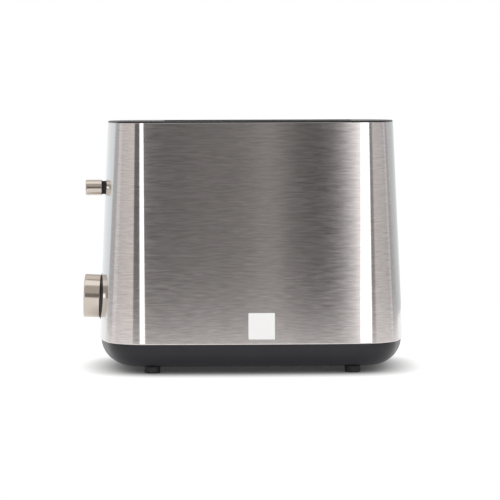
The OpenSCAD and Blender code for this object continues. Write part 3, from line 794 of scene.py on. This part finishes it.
def bread_deck():
    """The sunk plate, with a rolled lip round each bread slot."""
    top = PLATE_Z + PLATE_T
    obj = new_object("bread_deck", block((plate_low.x, plate_high.x), (plate_low.y, plate_high.y),
                                         (PLATE_Z, top), WELL_CORNER - PLATE_GAP))
    x = (MIDDLE_X + SLOT_X - SLOT_L / 2, MIDDLE_X + SLOT_X + SLOT_L / 2)
    lips, slots = [], []
    for middle in (-SLOT_Y, SLOT_Y):
        y = (middle - BREAD_W / 2, middle + BREAD_W / 2)
        collar = [(plate_low.z, PLATE_T), (top - 0.3 * MM, PLATE_T)]
        lips.append(loft(grown(x, y, SLOT_CORNER, collar)))
        edges = [(plate_low.z - PAST, 0)] + lip(top, 1 * MM) + [(top + PAST, 1 * MM)]
        slots.append(loft(grown(x, y, SLOT_CORNER, edges)))
    combine(obj, "UNION", *lips)
    combine(obj, "DIFFERENCE", *slots)
    return obj


# ---- Feet, knobs, buttons and small parts ----


def rubber_feet():
    """Four pads with rounded soles, a shallow dimple and a stub through the base."""
    r = FOOT_D / 2
    dimple = 0.5 * MM
    sole = [(r - SOLE + x, SOLE + z) for x, z in arc((0, 0), SOLE, -90, 0, 6)]
    profile = [(0, dimple), (3.2 * MM, dimple), (3.6 * MM, 0)] + sole
    profile += [(r, BASE_Z - 0.5 * MM), (r - 0.5 * MM, BASE_Z), (STUB_R, BASE_Z)]
    profile += [(STUB_R, BASE_Z + BASE_FLOOR), (0, BASE_Z + BASE_FLOOR)]
    places = [(MIDDLE_X + x, y) for x in (-FOOT_X, FOOT_X) for y in (-FOOT_Y, FOOT_Y)]
    return new_object("rubber_feet", *[turned(profile, Matrix.Translation((x, y, 0))) for x, y in places])


def round_end(radius, top, edge):
    """(radius, height) points over a bar's rounded end, to a shallow dish in its face."""
    rounding = [(radius - edge + x, top - edge + z) for x, z in arc((0, 0), edge, 0, 90, 6)]
    return rounding + [(radius - edge - 0.5 * MM, top), (radius - edge - 0.8 * MM, top - 0.12 * MM),
                       (radius * 0.5, top - 0.3 * MM), (0, top - 0.35 * MM)]


def round_start(bore, depth, radius, base, edge):
    """(radius, height) points from the bottom of a blind bore to a bar's rounded edge."""
    rounding = [(radius - edge + x, base + edge + z) for x, z in arc((0, 0), edge, -90, 0, 5)]
    return [(0, depth), (bore, depth), (bore, base)] + rounding


def browning_dial():
    """The knob, with a rounded rim and a dished face."""
    profile = round_start(bore=3.02 * MM, depth=9.2 * MM, radius=KNOB_D / 2, base=0.6 * MM, edge=0.8 * MM)
    profile += round_end(KNOB_D / 2, KNOB_OUT, edge=1.1 * MM)
    return new_object("browning_dial", turned(profile, face_place(KNOB_Z), 144))


def dial_pointer():
    """An inlaid line in the knob's face, which points up at the lightest setting."""
    flat = rounded((KNOB_D / 2 - 9.5 * MM, KNOB_D / 2 - 2.6 * MM), (-0.55 * MM, 0.55 * MM), 0.54 * MM, 6)
    inlay = prism(flat, face_place(KNOB_Z), KNOB_OUT - 0.9 * MM, KNOB_OUT - 0.02 * MM)
    return new_object("dial_pointer", inlay)


def lever_grip():
    """The lever's round knob, level along X."""
    low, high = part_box("lever_knob")
    place = Matrix.Translation((high.x, 0, (low.z + high.z) / 2)) @ Matrix.Rotation(-math.pi / 2, 4, "Y")
    length = high.x - low.x
    radius = (high.z - low.z) / 2
    profile = round_start(bore=3.42 * MM, depth=8.2 * MM, radius=radius, base=0, edge=0.5 * MM)
    profile += round_end(radius, length, edge=0.8 * MM)
    return new_object("lever_grip", turned(profile, place))


def button_cap(name, z):
    """A push button with a dished face, a collar behind the panel and a stem to its switch."""
    radius = BUTTON_D / 2
    back, front = COLLAR_Z
    profile = [(0, STEM_END), (STEM_R, STEM_END), (STEM_R, back), (COLLAR_R, back)]
    profile += [(COLLAR_R, front), (radius, front)]
    profile += round_end(radius, BUTTON_TIP, edge=0.6 * MM)
    return new_object(name, turned(profile, face_place(z, BUTTON_Y)))


def coil_spring():
    """The carriage's return spring, with closed turns at both ends."""
    low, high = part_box("carriage_spring")
    radius, wire, sides = 3.5 * MM, 0.5 * MM, 10
    turns, per_turn = 15, 24
    middle = ((low.x + high.x) / 2, (low.y + high.y) / 2)
    rings = []
    for k in range(turns * per_turn + 1):
        t = k / (turns * per_turn)
        # The pitch closes up over the first and last turn
        rise = (t - 0.035 * math.sin(2 * math.pi * t)) * (high.z - low.z - 2 * wire)
        a = 2 * math.pi * turns * t
        out = Vector((math.cos(a), math.sin(a), 0))
        centre = Vector((middle[0], middle[1], low.z + wire + rise)) + radius * out
        rings.append([centre + wire * (math.cos(b) * out + math.sin(b) * Vector((0, 0, 1)))
                      for b in (2 * math.pi * i / sides for i in range(sides))])
    obj = new_object("coil_spring", loft(rings))
    return obj, Vector((middle[0], middle[1], low.z))


def white_label():
    """A plain film label with round corners, on the near side."""
    low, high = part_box("blank_label")
    lean = math.atan(HALF_W * SLOPE)
    middle = Vector(((low.x + high.x) / 2, 0, (low.z + high.z) / 2))
    middle.y = -HALF_W * taper(middle.z)
    place = Matrix.Translation(middle) @ Matrix.Rotation(math.pi / 2 - lean, 4, "X")
    half = (high.x - low.x) / 2
    flat = rounded((-half, half), (-half, half), 0.7 * MM)
    return new_object("white_label", prism(flat, place, 0.02 * MM, 0.14 * MM))


# ---- Scene ----


def make_floor():
    """A round light table, with a painted contact shadow round what stands on it."""
    sides = 128
    radius = 0.62
    turns = [2 * math.pi * k / sides for k in range(sides)]
    points = [(MIDDLE_X + radius * math.cos(t), radius * math.sin(t), 0) for t in turns]
    floor = new_object("floor", (points, [list(range(sides))]))
    card = bpy.data.materials.new("light_table_painted_shadow")
    card.use_nodes = True
    graph = Graph(card.node_tree)
    # The table glows evenly, except for a painted contact shadow: ambient occlusion dims the glow where
    # something stands close over it
    painted_contact_shadow = graph.node("ShaderNodeAmbientOcclusion", {"Distance": 24 * MM}, samples=8)
    glow = graph.node("ShaderNodeEmission", {"Color": painted_contact_shadow.outputs["Color"], "Strength": 0.8})
    surface = graph.node("ShaderNodeBsdfDiffuse", {"Color": colour(0.33, 0.33, 0.33)})
    both = graph.node("ShaderNodeAddShader", {0: glow.outputs[0], 1: surface.outputs[0]})
    graph.node("ShaderNodeOutputMaterial", {"Surface": both.outputs[0]})
    floor.data.materials.append(card)


def make_camera():
    """A long lens, a little above the rim and square to the near side."""
    aim = Vector((MIDDLE_X - 0.0006, 0, 0.0934))
    place = Vector((MIDDLE_X - 0.0416, -2.0, 0.2134))
    data = bpy.data.cameras.new("camera")
    data.lens = 178.1
    data.sensor_width = 36
    data.clip_end = 50
    camera = bpy.data.objects.new("camera", data)
    bpy.context.scene.collection.objects.link(camera)
    camera.location = place
    roll = Matrix.Rotation(math.radians(-0.19), 4, "Z")
    camera.rotation_euler = ((aim - place).to_track_quat("-Z", "Y").to_matrix().to_4x4() @ roll).to_euler()
    bpy.context.scene.camera = camera


# The brightness of the soft box overhead
OVERHEAD = 1.3


def make_studio():
    """Soft boxes and dark cards round the object, as bands of brightness by direction."""
    world = bpy.data.worlds.new("studio")
    bpy.context.scene.world = world
    world.use_nodes = True
    graph = Graph(world.node_tree)
    direction = graph.node("ShaderNodeTexCoord").outputs["Generated"]
    parts = graph.node("ShaderNodeSeparateXYZ", {0: direction}).outputs
    azimuth = graph.math("ARCTAN2", parts[0], graph.math("MULTIPLY", parts[1], -1.0))
    elevation = graph.math("ARCSINE", parts[2])
    full = 4.0
    # Azimuth from the camera's side towards +X in degrees, brightness and warmth at that edge
    bands = [
        (-180, 1.0, -0.02), (-150, 0.9, -0.02), (-143, 0.55, -0.02), (-118, 0.6, 0), (-114, 0.85, 0),
        (-100, 0.85, 0), (-96, 0.72, 0.03), (-43, 0.82, 0.03), (-41, 0.17, 0), (-24, 0.17, 0), (-22, 2.6, 0),
        (-10.5, 2.6, 0), (-9.5, 0.07, 0.02), (-3, 0.19, 0.02), (1, 0.2, 0.02), (2.5, 0.42, 0.02),
        (4, 0.18, 0.02), (6.5, 0.05, 0.02), (8.5, 0.06, 0), (9.6, 0.35, 0), (10.5, 2.6, 0), (41, 2.6, 0),
        (43, 0.3, 0.02), (52, 0.33, 0.02), (56, 0.72, 0.02), (90, 0.66, 0.02), (106, 0.6, 0), (118, 0.8, 0),
        (122, 0.5, 0), (146, 0.55, -0.01), (160, 0.65, -0.01), (180, 1.0, -0.02)]
    ramp = graph.node("ShaderNodeValToRGB", {0: graph.span(azimuth, 0.0, 1.0, source=(-math.pi, math.pi))})
    stops = ramp.color_ramp.elements
    while len(stops) < len(bands):
        stops.new(0.5)
    for stop, (angle, bright, warm) in zip(stops, bands):
        stop.position = (angle + 180) / 360
    for stop, (angle, bright, warm) in zip(stops, bands):
        stop.color = colour(1 + warm, 1, 1 - warm, bright / full)

    def rises(value, low, high):
        return graph.span(value, 0.0, 1.0, True, (math.radians(low), math.radians(high)))

    sky = graph.mix(rises(elevation, 13, 20), ramp.outputs["Color"], colour(0.58, 0.56, 0.54, 1 / full))
    # Over the top from the front: a long soft box above, then a paler ceiling towards the back
    over = graph.math("ARCTAN2", parts[2], graph.math("MULTIPLY", parts[1], -1.0))
    high_up = rises(elevation, 34, 44)
    ceiling = graph.math("MULTIPLY", high_up, rises(over, 92, 100))
    sky = graph.mix(ceiling, sky, colour(0.9, 0.88, 0.86, 1 / full))
    box = graph.math("MULTIPLY", graph.math("MULTIPLY", rises(over, 58, 64), high_up),
                     graph.math("SUBTRACT", 1.0, rises(over, 94, 99)))
    sky = graph.mix(box, sky, colour(1, 1, 1, OVERHEAD / full))
    sky = graph.mix(rises(elevation, -7, -4), colour(0.1, 0.1, 0.1, 1 / full), sky)
    seen = graph.node("ShaderNodeLightPath").outputs["Is Camera Ray"]
    sky = graph.mix(seen, sky, colour(1, 1, 1, 1 / full))
    shader = graph.node("ShaderNodeBackground", {"Color": sky, "Strength": full})
    graph.node("ShaderNodeOutputWorld", {"Surface": shader.outputs[0]})


# ---- Build ----

for piece, body, slot, nodes in (
        (panel("far_side_shell", side_columns), "housing", "brushed_steel_side", ["side_panel_far"]),
        (panel("near_side_shell", side_columns, math.pi), "housing", "brushed_steel_side",
         ["side_panel_near"]),
        (panel("rear_end_shell", end_columns), "housing", "polished_steel_end", ["rear_panel"]),
        (control_shell(), "housing", "polished_steel_end", ["control_panel"]),
        (base_shell(), "housing", "black_base_plastic", ["base_tub"]),
        (top_rim(), "housing", "black_top_plastic", ["top_frame"]),
        (bread_deck(), "housing", "slot_steel", ["slot_plate"]),
        (rubber_feet(), "housing", "rubber", ["feet"]),
        (white_label(), "housing", "label_film", ["blank_label"]),
        (tray_front(), "tray", "black_base_plastic", ["tray_handle"]),
        (lever_grip(), "carriage", "satin_nickel", ["lever_knob"]),
        (browning_dial(), "browning_control", "satin_nickel", ["browning_knob"]),
        (dial_pointer(), "browning_control", "black_trim", [])):
    soften(piece)
    finish_piece(piece, body, slot, *nodes)

for name, z in zip(("cancel", "reheat", "defrost"), BUTTON_Z):
    piece = button_cap(name + "_cap", z)
    soften(piece)
    finish_piece(piece, name, "button_plastic", name + "_button")

spring, spring_foot = coil_spring()
soften(spring)
finish_piece(spring, "housing", "spring_steel", "carriage_spring")
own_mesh(spring)

slot_of = {part["node"]: part["material_slot"] for part in frame["record"]["subparts"]}
for name, node in frame["nodes"].items():
    for place in node.material_slots:
        place.material = looks[slot_of[name]]

make_floor()
make_camera()
make_studio()
bpy.context.scene.view_settings.view_transform = "Standard"
